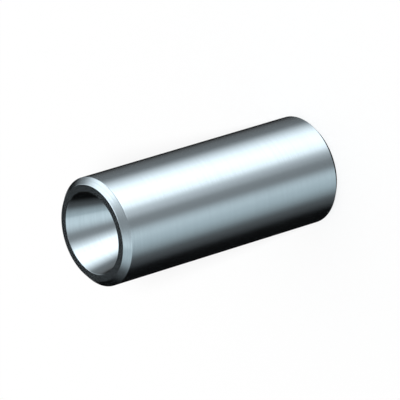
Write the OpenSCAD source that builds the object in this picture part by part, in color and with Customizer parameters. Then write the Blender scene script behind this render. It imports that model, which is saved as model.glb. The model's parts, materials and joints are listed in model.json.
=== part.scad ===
// Piston pin: a hollow steel pin that joins a piston to the small end of its connecting rod.
// It is one turned piece, ground round outside and chamfered at each end. Its bore is straight
// along the middle and opens out in a cone towards each end, where the pin carries less load.
// It stands on one end face. The origin is at the centre of that face and +Z runs along its axis.

/* [Pin] */
// Outside diameter, ground to run in the piston's bosses and the rod's small end
outside_d = 22; // [16:0.1:40]
// Length over the two end faces
length = 54.3; // [40:0.1:90]
// Thickness of the wall along the straight middle of the bore
wall = 4.75; // [4:0.05:6]

/* [Ends] */
// Thickness of the wall at each end face, where the bore has opened out
rim = 2.7; // [2.2:0.05:3.5]
// Depth of the cone that opens the bore out towards each end
flare_l = 11.2; // [6:0.1:18]
// Width of the 45 degree chamfer at each end, measured along the axis
chamfer = 1.25; // [0.5:0.05:1.6]
// Radius that softens both edges of each chamfer
edge_r = 0.1; // [0.05:0.05:0.3]
// Radius of the lip where the bore meets the end face
lip_r = 0.05; // [0.05:0.05:0.4]

/* [Hidden] */
$fn = 128;

outside_r = outside_d / 2;
half_l = length / 2;

// Where the bore and the chamfer meet the end face, as radii
bore_r = outside_r - wall;
mouth_r = outside_r - rim;
land_r = outside_r - chamfer;

// Which way each surface of an end faces in the half section, in degrees from the outward radius
outside_dir = 0;
chamfer_dir = 45;
face_dir = 90;
flare_dir = 180 - atan((wall - rim) / flare_l);

// Corners of the half section from the bore to the outside, at the upper end
end_corners = [
    [bore_r, half_l - flare_l],
    [mouth_r, half_l],
    [land_r, half_l],
    [outside_r, half_l - chamfer],
];
last_corner = len(end_corners) - 1;
lower_corners = [for (i = [last_corner:-1:0]) [end_corners[i].x, -end_corners[i].y]];

// What a round edge takes off the sharp corner between two surfaces: all that lies past the chord
// and outside the circle. The corner is at the origin, and the surfaces face the two directions.
module edge_waste(r, first_dir, second_dir) {
    half_turn = (second_dir - first_dir) / 2;
    middle_dir = (first_dir + second_dir) / 2;
    rotate(middle_dir)
        translate([-r / cos(half_turn), 0])
            difference() {
                translate([r * cos(half_turn), -r])
                    square(2 * r);
                circle(r);
            }
}

// The three round edges of the upper end
module end_waste() {
    translate([mouth_r, half_l])
        edge_waste(lip_r, face_dir, flare_dir);
    translate([land_r, half_l])
        edge_waste(edge_r, chamfer_dir, face_dir);
    translate([outside_r, half_l - chamfer])
        edge_waste(edge_r, outside_dir, chamfer_dir);
}

// Half section through the wall, with the middle of its length at zero
module wall_section() {
    difference() {
        polygon(concat(end_corners, lower_corners));
        for (flip = [0, 1])
            mirror([0, flip])
                end_waste();
    }
}

module piston_pin() {
    color("#a4b3bb")
        rotate_extrude()
            translate([0, half_l])
                wall_section();
}

piston_pin();
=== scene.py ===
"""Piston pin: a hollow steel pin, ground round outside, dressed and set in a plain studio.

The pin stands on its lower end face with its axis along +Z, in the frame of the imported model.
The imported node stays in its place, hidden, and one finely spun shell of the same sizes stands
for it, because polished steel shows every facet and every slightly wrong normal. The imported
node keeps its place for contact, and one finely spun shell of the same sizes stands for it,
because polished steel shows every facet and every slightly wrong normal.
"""

import json
import logging
import math
from dataclasses import dataclass
from enum import Enum
from typing import Any

import bmesh
import bpy
from mathutils import Matrix, Vector


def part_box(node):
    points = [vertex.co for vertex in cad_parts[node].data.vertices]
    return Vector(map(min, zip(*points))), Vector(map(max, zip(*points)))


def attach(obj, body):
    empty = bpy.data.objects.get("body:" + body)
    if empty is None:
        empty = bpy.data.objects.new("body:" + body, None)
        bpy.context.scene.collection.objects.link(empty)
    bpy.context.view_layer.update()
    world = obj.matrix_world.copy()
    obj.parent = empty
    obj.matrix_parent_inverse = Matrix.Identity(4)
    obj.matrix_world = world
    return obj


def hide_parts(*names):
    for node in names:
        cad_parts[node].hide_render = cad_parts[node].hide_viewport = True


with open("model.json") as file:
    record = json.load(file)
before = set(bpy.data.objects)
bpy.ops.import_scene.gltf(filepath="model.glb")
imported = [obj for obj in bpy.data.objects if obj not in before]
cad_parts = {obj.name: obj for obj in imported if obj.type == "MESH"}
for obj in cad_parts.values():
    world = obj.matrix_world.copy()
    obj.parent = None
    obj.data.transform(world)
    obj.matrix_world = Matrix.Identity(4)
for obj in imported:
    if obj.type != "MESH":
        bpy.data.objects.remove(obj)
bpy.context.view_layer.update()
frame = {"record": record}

LOG = logging.getLogger("piston_pin")
MM = 0.001
WHITE = "#ffffff"


def to_linear(code: str) -> tuple[float, float, float, float]:
    """Turns an sRGB hex colour into linear light.

    Args:
        code: The colour as "#rrggbb".

    Returns:
        Red, green and blue in linear light, and an alpha of 1.
    """
    shares = [int(code[i : i + 2], 16) / 255 for i in (1, 3, 5)]
    red, green, blue = [
        s / 12.92 if s <= 0.04045 else ((s + 0.055) / 1.055) ** 2.4 for s in shares
    ]
    return red, green, blue, 1.0


def add_node(
    tree: bpy.types.NodeTree,
    kind: str,
    settings: dict[str, Any] | None = None,
    inputs: dict[str | int, Any] | None = None,
) -> bpy.types.Node:
    """Adds one node with its settings, values and links.

    Args:
        tree: The node tree that takes the node.
        kind: The node's type, without the leading "ShaderNode".
        settings: Properties of the node itself, by name.
        inputs: What goes into its sockets, by name or number. A socket is linked, and
            anything else is set as the value.

    Returns:
        The new node.
    """
    node = tree.nodes.new("ShaderNode" + kind)
    for name, value in (settings or {}).items():
        setattr(node, name, value)
    for name, value in (inputs or {}).items():
        if isinstance(value, bpy.types.NodeSocket):
            tree.links.new(value, node.inputs[name])
        else:
            node.inputs[name].default_value = value
    return node


def background_rays(tree: bpy.types.NodeTree) -> bpy.types.NodeSocket:
    """Tells the rays that show the background from those that only carry light.

    Args:
        tree: The node tree of the world or of a material.

    Returns:
        The socket that gives 1 for camera, glossy and transmission rays, and 0 for others.
    """
    path = add_node(tree, "LightPath")
    seen = path.outputs["Is Camera Ray"]
    for ray in ("Is Glossy Ray", "Is Transmission Ray"):
        seen = add_node(
            tree, "Math", {"operation": "MAXIMUM"}, {0: seen, 1: path.outputs[ray]}
        ).outputs["Value"]
    return seen


def bare_material(name: str) -> bpy.types.Material:
    """Makes a material whose node tree is still empty.

    Args:
        name: The material's name.

    Returns:
        The new material.
    """
    made = bpy.data.materials.new(name)
    made.use_nodes = True
    made.node_tree.nodes.clear()
    return made


def to_object(
    bm: bmesh.types.BMesh, name: str, materials: list[bpy.types.Material]
) -> bpy.types.Object:
    """Makes a finished shape an object of the scene, and frees the shape.

    Args:
        bm: The finished shape.
        name: The name of the object and of its mesh.
        materials: The object's materials, in the order of its slots.

    Returns:
        The new object, at the origin.
    """
    mesh = bpy.data.meshes.new(name)
    bm.to_mesh(mesh)
    bm.free()
    for material in materials:
        mesh.materials.append(material)
    made = bpy.data.objects.new(name, mesh)
    bpy.context.scene.collection.objects.link(made)
    return made


class Across(Enum):
    """Which way a tool's lines lie side by side on a turned surface."""

    ALONG_AXIS = "along the pin's axis"
    ALONG_RADIUS = "outwards from the pin's axis"


@dataclass(frozen=True)
class SteelFinish:
    """A machined steel surface, with the lines that its tool left round the axis.

    Sizes are in millimetres. The true lines are a few hundredths of a millimetre apart, too
    fine to show, so each finish draws them as coarse as they need to be to show at all. The
    lines, clouded over a little, make a pattern from 0 to 1 that sets tone and roughness.

    Attributes:
        name: The material's name.
        light: Colour where the pattern is 0.
        dark: Colour where the pattern is 1.
        roughness: Roughness in the middle of its range.
        roughness_swing: How far the roughness goes to each side of that.
        across: Which way the lines lie side by side.
        line_spacing: How far apart the lines are.
        line_length: How far a line runs before it is lost among others.
        line_depth: Height of the relief that the lines make.
        line_detail: How many finer noises the lines take in.
        cloud_size: Size of the clouds.
        cloud_detail: How many finer noises the clouds take in.
        cloud_share: Share of the clouds in the pattern.
        noise_low: The pattern where the roughness is least.
        noise_high: The pattern where the roughness is most.
    """

    name: str
    light: str
    dark: str
    roughness: float
    roughness_swing: float
    across: Across
    line_spacing: float
    line_length: float
    line_depth: float
    line_detail: float = 2.0
    cloud_size: float = 9.0
    cloud_detail: float = 3.0
    cloud_share: float = 0.3
    noise_low: float = 0.3
    noise_high: float = 0.7

    def material(self) -> bpy.types.Material:
        """Makes the finish as a material on Object coordinates.

        Returns:
            The new material.
        """
        made = bare_material(self.name)
        tree = made.node_tree
        place = add_node(tree, "TexCoord").outputs["Object"]
        lines = self.line_pattern(tree, place)
        clouds = add_node(
            tree,
            "TexNoise",
            inputs={
                "Vector": place,
                "Scale": 1 / (self.cloud_size * MM),
                "Detail": self.cloud_detail,
            },
        )
        blend = add_node(
            tree,
            "Mix",
            {"data_type": "FLOAT"},
            {"Factor": self.cloud_share, "A": lines, "B": clouds.outputs["Fac"]},
        ).outputs["Result"]
        rough = add_node(
            tree,
            "MapRange",
            inputs={
                "Value": blend,
                "From Min": self.noise_low,
                "From Max": self.noise_high,
                "To Min": self.roughness - self.roughness_swing,
                "To Max": self.roughness + self.roughness_swing,
            },
        )
        tone = add_node(
            tree,
            "Mix",
            {"data_type": "RGBA"},
            {"Factor": blend, "A": to_linear(self.light), "B": to_linear(self.dark)},
        )
        relief = add_node(
            tree,
            "Bump",
            inputs={"Strength": 1.0, "Distance": self.line_depth * MM, "Height": lines},
        )
        shader = add_node(
            tree,
            "BsdfPrincipled",
            inputs={
                "Base Color": tone.outputs["Result"],
                "Metallic": 1.0,
                "Roughness": rough.outputs["Result"],
                "Normal": relief.outputs["Normal"],
            },
        )
        add_node(tree, "OutputMaterial", inputs={"Surface": shader.outputs["BSDF"]})
        return made

    def line_pattern(
        self, tree: bpy.types.NodeTree, place: bpy.types.NodeSocket
    ) -> bpy.types.NodeSocket:
        """Draws the tool's lines: long round the axis and narrow across.

        Args:
            tree: The material's node tree.
            place: The point on the pin, in metres.

        Returns:
            The socket that gives the lines, from 0 to 1.
        """
        apart = add_node(tree, "SeparateXYZ", inputs={"Vector": place})
        if self.across is Across.ALONG_RADIUS:
            flat = add_node(
                tree, "CombineXYZ", inputs={"X": apart.outputs["X"], "Y": apart.outputs["Y"]}
            )
            step = add_node(
                tree, "VectorMath", {"operation": "LENGTH"}, {0: flat.outputs["Vector"]}
            ).outputs["Value"]
        else:
            step = apart.outputs["Z"]
        turned = add_node(
            tree,
            "CombineXYZ",
            inputs={"X": apart.outputs["X"], "Y": apart.outputs["Y"], "Z": step},
        )
        stretch = 1 / (self.line_length * MM)
        packed = 1 / (self.line_spacing * MM)
        spread = add_node(
            tree,
            "Mapping",
            inputs={"Vector": turned.outputs["Vector"], "Scale": (stretch, stretch, packed)},
        )
        noise = add_node(
            tree,
            "TexNoise",
            inputs={
                "Vector": spread.outputs["Vector"],
                "Scale": 1.0,
                "Detail": self.line_detail,
            },
        )
        return noise.outputs["Fac"]


# Case-hardened steel, ground and lapped: a close, even sheen that blurs what it mirrors a
# little, with faint lines round the pin that show only where the light grazes them.
LAPPED_STEEL = SteelFinish(
    name="case_hardened_steel_ground_and_lapped",
    light="#bccad2",
    dark="#b2c0c8",
    roughness=0.17,
    roughness_swing=0.03,
    across=Across.ALONG_AXIS,
    line_spacing=0.35,
    line_length=14.0,
    line_depth=0.0004,
)
# The same steel, turned with a fine feed: the tool's lines run round the chamfer and break the
# light into thin streaks, and the surface is a little duller than the ground outside.
TURNED_STEEL = SteelFinish(
    name="case_hardened_steel_fine_turned",
    light="#beccd4",
    dark="#aab8c0",
    roughness=0.2,
    roughness_swing=0.05,
    across=Across.ALONG_RADIUS,
    line_spacing=0.22,
    line_length=7.0,
    line_depth=0.001,
)
# The same steel, faced flat: concentric lines from the facing cut, even and rather dark,
# because it mirrors one small part of the room at a time.
FACED_STEEL = SteelFinish(
    name="case_hardened_steel_faced",
    light="#bac8d0",
    dark="#aebcc4",
    roughness=0.2,
    roughness_swing=0.015,
    across=Across.ALONG_RADIUS,
    line_spacing=0.25,
    line_length=7.0,
    line_depth=0.0004,
)
# The same steel, bored and honed: the tool's lines follow each other down the bore and are
# coarser than those outside, but between them it mirrors as clearly as the outside.
BORED_STEEL = SteelFinish(
    name="case_hardened_steel_bored_and_honed",
    light="#bccad2",
    dark="#acbac2",
    roughness=0.16,
    roughness_swing=0.03,
    across=Across.ALONG_AXIS,
    line_spacing=0.4,
    line_length=8.0,
    line_depth=0.0006,
)


class Zone(Enum):
    """The pin's surfaces, in the order of its material slots."""

    OUTSIDE = 0
    CHAMFER = 1
    END_FACE = 2
    BORE = 3

    @property
    def finish(self) -> SteelFinish:
        """The finish that this surface has."""
        return (LAPPED_STEEL, TURNED_STEEL, FACED_STEEL, BORED_STEEL)[self.value]


@dataclass
class PistonPin:
    """The pin: one turned shell. Sizes are in millimetres.

    Attributes:
        node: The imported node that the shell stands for.
        outside_r: Radius of the ground outside.
        length: Length over the end faces.
        bore_r: Radius of the bore's straight middle.
        flare_l: Depth of the cone in which the bore opens at each end.
        rim: Wall at the end faces, from the mouth of the bore to the outside.
        chamfer: How far each 45 degree chamfer reaches along and across the pin.
        edge_r: Radius on both edges of a chamfer.
        lip_r: Radius round the mouth of the bore.
        name: The shell's name.
        steps_round: Steps in one turn of the spin.
        edge_segments: Faces across a rounded edge.
        rings_along: Rings that divide a long straight side.
        guard: How far beyond a rounded edge its guard ring lies.
        merge_gap: Points nearer to each other than this become one.
        ring_gap: How near to a corner the points of its ring are looked for.
    """

    node: str
    outside_r: float
    length: float
    bore_r: float
    flare_l: float
    rim: float = 2.7
    chamfer: float = 1.25
    edge_r: float = 0.1
    lip_r: float = 0.05
    name: str = "piston_pin_shell"
    steps_round: int = 256
    edge_segments: int = 5
    rings_along: int = 8
    guard: float = 0.12
    merge_gap: float = 0.0005
    ring_gap: float = 0.001

    @classmethod
    def from_frame(cls, node: str) -> "PistonPin":
        """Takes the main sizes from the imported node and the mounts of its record.

        Args:
            node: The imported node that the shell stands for.

        Returns:
            The pin, in those sizes.
        """
        low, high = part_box(node)
        length = (high.z - low.z) / MM
        mounts = {mount["name"]: mount["dims"] for mount in frame["record"]["mounts"]}
        return cls(
            node=node,
            outside_r=mounts["outside"]["r_mm"],
            length=length,
            bore_r=mounts["bore"]["r_mm"],
            flare_l=(length - mounts["bore"]["length_mm"]) / 2,
        )

    def upper_corners(self) -> list[tuple[Vector, float]]:
        """Lists the corners of the upper end in the half section, from the bore to the outside.

        Returns:
            Each corner as (radius, height above the lower end face), and the radius that
            rounds it.
        """
        top = self.length
        return [
            (Vector((self.bore_r, top - self.flare_l)), 0.0),
            (Vector((self.outside_r - self.rim, top)), self.lip_r),
            (Vector((self.outside_r - self.chamfer, top)), self.edge_r),
            (Vector((self.outside_r, top - self.chamfer)), self.edge_r),
        ]

    def corners(self) -> list[tuple[Vector, float]]:
        """Lists all corners of the closed half section in order round it, both ends alike.

        Returns:
            The corners and radii of the upper end, and then those of the lower end.
        """
        upper = self.upper_corners()
        lower = [(Vector((p.x, self.length - p.y)), r) for p, r in reversed(upper)]
        return upper + lower

    @staticmethod
    def setback(before: Vector, corner: Vector, after: Vector, radius: float) -> float:
        """Works out how far from a corner its rounding starts.

        Args:
            before: The corner before it.
            corner: The corner itself.
            after: The corner after it.
            radius: The radius that rounds it.

        Returns:
            The distance along each side, in millimetres.
        """
        turn = (corner - before).angle(after - corner)
        return radius * math.tan(turn / 2)

    def build(self) -> bpy.types.Object:
        """Spins the half section round the axis and rounds its edges.

        Returns:
            The finished shell, at the origin.
        """
        bm = bmesh.new()
        rounds = self.draw_section(bm)
        bmesh.ops.spin(
            bm,
            geom=bm.verts[:] + bm.edges[:],
            cent=(0, 0, 0),
            axis=(0, 0, 1),
            angle=math.tau,
            steps=self.steps_round,
            use_merge=True,
        )
        for corner, offset in rounds:
            ring = self.ring_at(bm, corner)
            if offset == 0:
                for edge in ring:
                    edge.smooth = False
                continue
            bmesh.ops.bevel(
                bm,
                geom=ring,
                affect="EDGES",
                offset_type="OFFSET",
                offset=offset * MM,
                segments=self.edge_segments,
                profile=0.5,
                material=-1,
            )
        bmesh.ops.remove_doubles(bm, verts=bm.verts[:], dist=self.merge_gap * MM)
        bmesh.ops.recalc_face_normals(bm, faces=bm.faces[:])
        for face in bm.faces:
            face.smooth = True
            face.material_index = self.zone_of(face).value
        return to_object(bm, self.name, [zone.finish.material() for zone in Zone])

    def draw_section(self, bm: bmesh.types.BMesh) -> list[tuple[Vector, float]]:
        """Draws the closed half section, with a guard point on each side of each corner.

        The guard points keep the shading of the long straight sides true right up to the
        rounded edges.

        Args:
            bm: The empty mesh that takes the section.

        Returns:
            Each corner with the distance from it at which its rounding starts.
        """
        corners = self.corners()
        points: list[Vector] = []
        rounds: list[tuple[Vector, float]] = []
        for i, (corner, radius) in enumerate(corners):
            before = corners[i - 1][0]
            after = corners[(i + 1) % len(corners)][0]
            offset = self.setback(before, corner, after, radius)
            reach = offset + self.guard
            points += [
                corner + (before - corner).normalized() * reach,
                corner,
                corner + (after - corner).normalized() * reach,
            ]
            rounds.append((corner, offset))
        verts = [bm.verts.new((p.x * MM, 0, p.y * MM)) for p in points]
        edges = [bm.edges.new(pair) for pair in zip(verts, verts[1:] + verts[:1])]
        # The outside, the cones and the bore's straight middle are the long sides.
        long_side = self.flare_l / 2 * MM
        long_edges = [e for e in edges if e.calc_length() > long_side]
        bmesh.ops.subdivide_edges(bm, edges=long_edges, cuts=self.rings_along)
        return rounds

    def ring_at(self, bm: bmesh.types.BMesh, corner: Vector) -> list[bmesh.types.BMEdge]:
        """Finds the ring of edges that a corner of the section left.

        Args:
            bm: The spun mesh.
            corner: The corner as (radius, height), in millimetres.

        Returns:
            The edges of that ring.
        """

        def on_ring(vert: bmesh.types.BMVert) -> bool:
            """Tells whether a vertex lies on the ring."""
            place = Vector((math.hypot(vert.co.x, vert.co.y), vert.co.z)) / MM
            return (place - corner).length < self.ring_gap

        return [e for e in bm.edges if on_ring(e.verts[0]) and on_ring(e.verts[1])]

    @staticmethod
    def zone_of(face: bmesh.types.BMFace) -> Zone:
        """Tells which of the pin's surfaces a face belongs to.

        Args:
            face: A face of the finished shell.

        Returns:
            Its surface. The rounded edges belong to the chamfer, and the lip to the bore.
        """
        # Cosines past which a face looks straight along the axis or radius, or looks inwards.
        square_on, inwards = 0.9995, -0.1
        middle = face.calc_center_median()
        outwards = face.normal.dot(Vector((middle.x, middle.y, 0)).normalized())
        if abs(face.normal.z) > square_on:
            return Zone.END_FACE
        if outwards > square_on:
            return Zone.OUTSIDE
        return Zone.BORE if outwards < inwards else Zone.CHAMFER

    def dress(self, shell: bpy.types.Object) -> None:
        """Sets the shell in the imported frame, in place of its node.

        Args:
            shell: The shell that build() made.
        """
        # The steel mirrors the studio alone, as it does in the photograph: the bore stays as
        # clear as the outside, with no second image of its own far wall.
        shell.visible_glossy = False
        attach(shell, "root")
        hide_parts(self.node)


def mirror_only(kit: bpy.types.Object) -> None:
    """Leaves a card or drape to be seen in mirrors alone, as kit kept out of the picture.

    Args:
        kit: The card or drape.
    """
    kit.visible_camera = False
    kit.visible_diffuse = False
    kit.visible_shadow = False
    kit.visible_volume_scatter = False


@dataclass(frozen=True)
class Softbox:
    """A soft card of light that only mirrors see, aimed at the pin.

    Angles are in degrees, as seen from the pin. From its middle the card keeps its full
    strength over its flat share, across and along, and then fades to nothing at its edges.

    Attributes:
        name: The name of the card and of its material.
        azimuth: Its middle's turn round the pin: 0 on the photograph's side, +90 at +X.
        elevation: Its middle's height above the pin's middle.
        lean: How far it leans over in its own plane.
        half_width: From its middle to each side.
        half_height: From its middle to its top and bottom.
        flat_across: Share of the half width that has the full strength.
        flat_along: Share of the half height that has the full strength.
        strength: Its light, where 1 is white.
        tint: Its colour.
        distance: How far it is from the pin, in metres.
    """

    name: str
    azimuth: float
    elevation: float
    lean: float
    half_width: float
    half_height: float
    flat_across: float
    flat_along: float
    strength: float
    tint: str = WHITE
    distance: float = 1.2

    def build(self, target: Vector) -> None:
        """Makes the card and aims it.

        Args:
            target: The point that the card faces.
        """
        bm = bmesh.new()
        bmesh.ops.create_grid(bm, x_segments=1, y_segments=1, size=1.0)
        card = to_object(bm, self.name, [self.material()])
        azimuth, elevation = math.radians(self.azimuth), math.radians(self.elevation)
        towards = Vector(
            (
                math.sin(azimuth) * math.cos(elevation),
                -math.cos(azimuth) * math.cos(elevation),
                math.sin(elevation),
            )
        )
        across = math.tan(math.radians(self.half_width)) * self.distance
        along = math.tan(math.radians(self.half_height)) * self.distance
        card.matrix_world = (
            Matrix.Translation(target + towards * self.distance)
            @ towards.to_track_quat("Z", "Y").to_matrix().to_4x4()
            @ Matrix.Rotation(math.radians(self.lean), 4, "Z")
            @ Matrix.Diagonal((across, along, 1.0, 1.0))
        )
        mirror_only(card)

    def material(self) -> bpy.types.Material:
        """Makes the card's light, which fades towards its edges.

        Returns:
            The new material.
        """
        made = bare_material(self.name)
        made.cycles.emission_sampling = "NONE"
        tree = made.node_tree
        place = add_node(tree, "TexCoord").outputs["Object"]
        out = add_node(tree, "VectorMath", {"operation": "ABSOLUTE"}, {0: place})
        sides = add_node(tree, "SeparateXYZ", inputs={"Vector": out.outputs["Vector"]})
        fades = [
            add_node(
                tree,
                "MapRange",
                {"interpolation_type": "SMOOTHSTEP"},
                {
                    "Value": sides.outputs[side],
                    "From Min": flat,
                    "From Max": 1.0,
                    "To Min": 1.0,
                    "To Max": 0.0,
                },
            ).outputs["Result"]
            for side, flat in (("X", self.flat_across), ("Y", self.flat_along))
        ]
        share = add_node(tree, "Math", {"operation": "MULTIPLY"}, {0: fades[0], 1: fades[1]})
        level = add_node(
            tree,
            "Math",
            {"operation": "MULTIPLY"},
            {0: share.outputs["Value"], 1: self.strength},
        )
        light = add_node(
            tree,
            "Emission",
            inputs={"Color": to_linear(self.tint), "Strength": level.outputs["Value"]},
        )
        clear = add_node(tree, "BsdfTransparent")
        both = add_node(
            tree, "AddShader", inputs={0: light.outputs["Emission"], 1: clear.outputs["BSDF"]}
        )
        add_node(tree, "OutputMaterial", inputs={"Surface": both.outputs["Shader"]})
        return made


# The comment above each card says what it draws on the steel.
SOFTBOXES = (
    # The broad white band along the pin, and the one across the bore.
    Softbox(
        name="key_softbox",
        azimuth=55,
        elevation=-20,
        lean=35,
        half_width=50,
        half_height=50,
        flat_across=0.0,
        flat_along=0.0,
        strength=2.2,
    ),
    # The white part of the chamfer.
    Softbox(
        name="top_softbox",
        azimuth=115,
        elevation=55,
        lean=-75,
        half_width=50,
        half_height=35,
        flat_across=0.2,
        flat_along=0.8,
        strength=2.0,
    ),
    # The blue-grey band below the white one.
    Softbox(
        name="fill_softbox",
        azimuth=-55,
        elevation=15,
        lean=15,
        half_width=45,
        half_height=75,
        flat_across=0.1,
        flat_along=0.8,
        strength=0.75,
        tint="#f2fdff",
    ),
    # The grey above the white band.
    Softbox(
        name="side_card",
        azimuth=90,
        elevation=-20,
        lean=-60,
        half_width=60,
        half_height=60,
        flat_across=0.0,
        flat_along=0.8,
        strength=0.3,
    ),
    # The grey between the two bands.
    Softbox(
        name="front_card",
        azimuth=0,
        elevation=25,
        lean=-30,
        half_width=55,
        half_height=75,
        flat_across=0.8,
        flat_along=0.3,
        strength=0.4,
    ),
    # The slow fall into the dark along the pin's lower side.
    Softbox(
        name="left_card",
        azimuth=-95,
        elevation=20,
        lean=15,
        half_width=40,
        half_height=75,
        flat_across=0.0,
        flat_along=0.8,
        strength=0.12,
    ),
    # A narrow light band along the back.
    Softbox(
        name="back_card",
        azimuth=180,
        elevation=-10,
        lean=0,
        half_width=15,
        half_height=25,
        flat_across=0.0,
        flat_along=0.3,
        strength=0.6,
    ),
    # The dim light of the end face.
    Softbox(
        name="back_top_card",
        azimuth=180,
        elevation=40,
        lean=0,
        half_width=35,
        half_height=25,
        flat_across=0.3,
        flat_along=0.3,
        strength=0.03,
    ),
    # What the sides and the bore show from above.
    Softbox(
        name="floor_card",
        azimuth=0,
        elevation=-80,
        lean=0,
        half_width=30,
        half_height=30,
        flat_across=0.3,
        flat_along=0.3,
        strength=0.45,
    ),
)


@dataclass
class Studio:
    """A pale floor, a white surround, one soft lamp and the cards that the steel mirrors.

    Lengths are in metres and angles in degrees.

    Attributes:
        floor_r: Radius of the round floor.
        floor_segments: Sides of the floor.
        floor_colour: The floor's own colour.
        shadow_share: Share of the floor's look that light and shadow give.
        drape_r: Radius of the drape.
        drape_segments: Steps round the drape.
        drape_tone: The drape's tone in mirrors.
        dome_level: The surround's light on the set, where 1 is white.
        lamp_level: The lamp's light, in watts per square metre.
        lamp_angle: How wide the lamp looks from the pin, which softens the shadow.
        lamp_elevation: The lamp's height above the floor.
    """

    floor_r: float = 4.0
    floor_segments: int = 96
    floor_colour: str = "#fdfdfd"
    shadow_share: float = 0.4
    drape_r: float = 12.0
    drape_segments: int = 48
    drape_tone: str = "#101010"
    dome_level: float = 0.5
    lamp_level: float = 2.55
    lamp_angle: float = 8.0
    lamp_elevation: float = 40.0

    def build(self, target: Vector) -> None:
        """Builds the whole studio.

        Args:
            target: The middle of the pin.
        """
        self.world()
        self.floor()
        self.lamp()
        self.drape(target)
        for softbox in SOFTBOXES:
            softbox.build(target)
            LOG.info("stage: %s", softbox.name)

    def world(self) -> None:
        """Makes the surround: white as a background, and a plain level of light on the set."""
        world = bpy.data.worlds.new("white_surround")
        bpy.context.scene.world = world
        world.use_nodes = True
        world.cycles.sampling_method = "NONE"
        tree = world.node_tree
        tree.nodes.clear()
        level = add_node(
            tree,
            "MapRange",
            inputs={"Value": background_rays(tree), "To Min": self.dome_level, "To Max": 1.0},
        )
        light = add_node(
            tree,
            "Background",
            inputs={"Color": to_linear(WHITE), "Strength": level.outputs["Result"]},
        )
        add_node(tree, "OutputWorld", inputs={"Surface": light.outputs["Background"]})

    def floor(self) -> None:
        """Lays the floor: white as a background, with a share left for light and shadow."""
        made = bare_material("matt_white_board")
        tree = made.node_tree
        board = add_node(tree, "BsdfDiffuse", inputs={"Color": to_linear(self.floor_colour)})
        white = add_node(tree, "Emission", inputs={"Color": to_linear(WHITE), "Strength": 1.0})
        share = add_node(
            tree,
            "Math",
            {"operation": "MULTIPLY"},
            {0: background_rays(tree), 1: 1 - self.shadow_share},
        )
        both = add_node(
            tree,
            "MixShader",
            inputs={
                0: share.outputs["Value"],
                1: board.outputs["BSDF"],
                2: white.outputs["Emission"],
            },
        )
        add_node(tree, "OutputMaterial", inputs={"Surface": both.outputs["Shader"]})
        bm = bmesh.new()
        bmesh.ops.create_circle(
            bm, cap_ends=True, segments=self.floor_segments, radius=self.floor_r
        )
        floor = to_object(bm, "pale_floor", [made])
        # Kept out of the mirrors, so that the steel shows the same studio down to its foot.
        floor.visible_glossy = False

    def lamp(self) -> None:
        """Hangs the lamp above the photograph's side, so the shadow falls behind the pin."""
        data = bpy.data.lights.new("soft_lamp", "SUN")
        data.energy = self.lamp_level
        data.angle = math.radians(self.lamp_angle)
        lamp = bpy.data.objects.new("soft_lamp", data)
        bpy.context.scene.collection.objects.link(lamp)
        lamp.rotation_euler = (math.radians(90 - self.lamp_elevation), 0, 0)
        lamp.visible_glossy = False

    def drape(self, target: Vector) -> None:
        """Hangs a dark drape round the set, which gives the steel its dark bands.

        Args:
            target: The middle of the pin.
        """
        made = bare_material("dark_cloth")
        made.cycles.emission_sampling = "NONE"
        tree = made.node_tree
        cloth = add_node(
            tree, "Emission", inputs={"Color": to_linear(self.drape_tone), "Strength": 1.0}
        )
        add_node(tree, "OutputMaterial", inputs={"Surface": cloth.outputs["Emission"]})
        bm = bmesh.new()
        bmesh.ops.create_uvsphere(
            bm,
            u_segments=self.drape_segments,
            v_segments=self.drape_segments // 2,
            radius=self.drape_r,
        )
        drape = to_object(bm, "dark_drape", [made])
        drape.location = target
        mirror_only(drape)


@dataclass(frozen=True)
class PhotoCamera:
    """The photograph's camera: a long lens, above the end face, turned on its side.

    Angles are in degrees, distances in metres, and the lens and sensor in millimetres.

    Attributes:
        elevation: Its height above the level of the pin's middle.
        roll: Its turn about its own line of sight.
        distance: How far it is from the pin's middle.
        slide_right: Its move to the right in its own picture plane.
        slide_up: Its move upwards in its own picture plane.
        lens: The focal length.
        sensor: Width of the sensor.
        clip_start: Where its view begins.
        clip_end: Where its view ends.
    """

    elevation: float = 35.8
    roll: float = -106.93
    distance: float = 0.9873
    slide_right: float = -0.00007
    slide_up: float = 0.00004
    lens: float = 450.0
    sensor: float = 36.0
    clip_start: float = 0.05
    clip_end: float = 20.0

    def build(self, target: Vector) -> None:
        """Makes the camera and gives it to the scene.

        Args:
            target: The middle of the pin.
        """
        data = bpy.data.cameras.new("photo_camera")
        data.lens = self.lens
        data.sensor_width = self.sensor
        data.clip_start = self.clip_start
        data.clip_end = self.clip_end
        camera = bpy.data.objects.new("photo_camera", data)
        bpy.context.scene.collection.objects.link(camera)
        tilt = Matrix.Rotation(math.radians(90 - self.elevation), 4, "X")
        turn = Matrix.Rotation(math.radians(self.roll), 4, "Z")
        back = Matrix.Translation((self.slide_right, self.slide_up, self.distance))
        camera.matrix_world = Matrix.Translation(target) @ tilt @ turn @ back
        bpy.context.scene.camera = camera


def main() -> None:
    """Builds the pin, the studio and the camera, and logs the shell's face count and each card's
    name.
    """
    logging.basicConfig(level=logging.INFO, format="%(name)s: %(message)s")
    bpy.context.scene.view_settings.view_transform = "Standard"
    pin = PistonPin.from_frame("piston_pin")
    shell = pin.build()
    pin.dress(shell)
    LOG.info("piece: %s, %d faces", shell.name, len(shell.data.polygons))
    middle = Vector((0, 0, pin.length / 2 * MM))
    Studio().build(middle)
    PhotoCamera().build(middle)
    bpy.context.view_layer.update()


if __name__ == "__main__":
    main()
